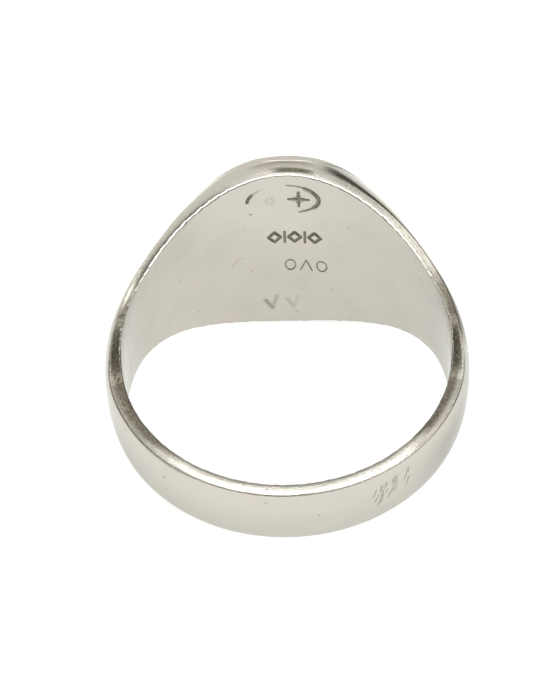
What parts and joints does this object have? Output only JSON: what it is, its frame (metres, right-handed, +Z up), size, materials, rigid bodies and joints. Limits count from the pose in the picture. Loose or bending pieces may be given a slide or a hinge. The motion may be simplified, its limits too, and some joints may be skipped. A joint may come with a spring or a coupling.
{
  "type": "signet ring",
  "caption": "Signet ring lying on its side: a wide tapering head with a plain flat oval face, shoulders that flow into a narrow half-round shank, and a smooth bore.",
  "frame": {"origin": "on the surface that the ring lies on, under the middle of the ring's box", "axes": "+Z up from that surface, +Y from the back of the shank towards the signet's head, +X to the right as seen from the back of the shank. The finger axis lies in the YZ plane, 13.2 degrees from +Z"},
  "size_m": [0.023, 0.025, 0.0143],
  "materials": {
    "sterling_silver": "worn polish with fine scratches, warm grey tarnish in the rims and small nicks on the edges",
    "silver_solder": "slightly duller and yellower than the silver, dressed flush"
  },
  "bodies": {
    "root": {"shank": "sterling_silver", "back_plate": "sterling_silver", "left_shoulder": "sterling_silver", "right_shoulder": "sterling_silver", "signet_block": "sterling_silver", "signet_table": "sterling_silver", "table_solder": "silver_solder", "left_shank_solder": "silver_solder", "right_shank_solder": "silver_solder"}
  },
  "joints": []
}
